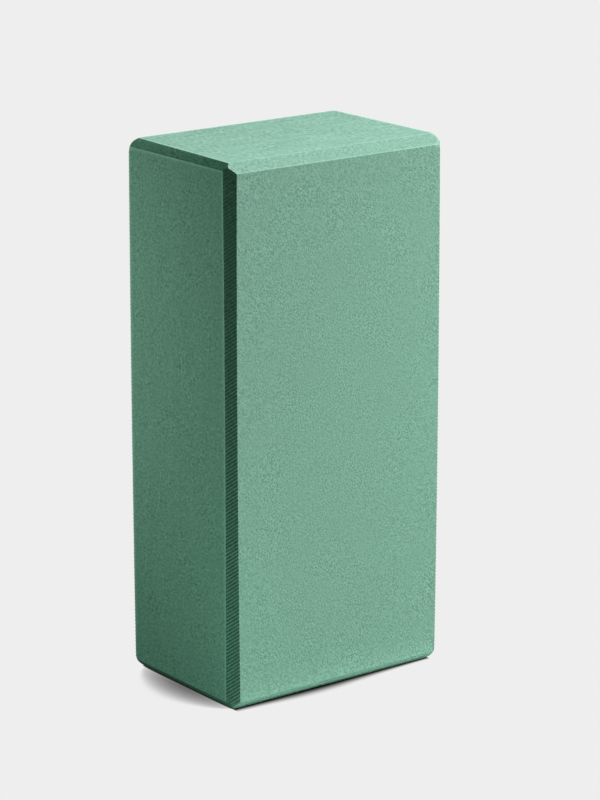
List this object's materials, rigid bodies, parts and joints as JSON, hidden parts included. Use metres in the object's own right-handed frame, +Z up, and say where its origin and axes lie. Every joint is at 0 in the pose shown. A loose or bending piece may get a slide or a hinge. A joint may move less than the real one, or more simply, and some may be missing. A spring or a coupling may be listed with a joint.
{
  "type": "yoga block",
  "caption": "Firm foam brick with every edge bevelled, which stands or lies on any face to raise or prop a hand, foot or hip in floor exercise.",
  "frame": {"origin": "middle of the small end that the block stands on", "axes": "+Z up along the length, X across the width of the large faces, Y through the thickness"},
  "size_m": [0.11, 0.073, 0.228],
  "materials": {
    "eva_foam": "matte"
  },
  "bodies": {
    "root": {"foam_block": "eva_foam"}
  },
  "joints": []
}
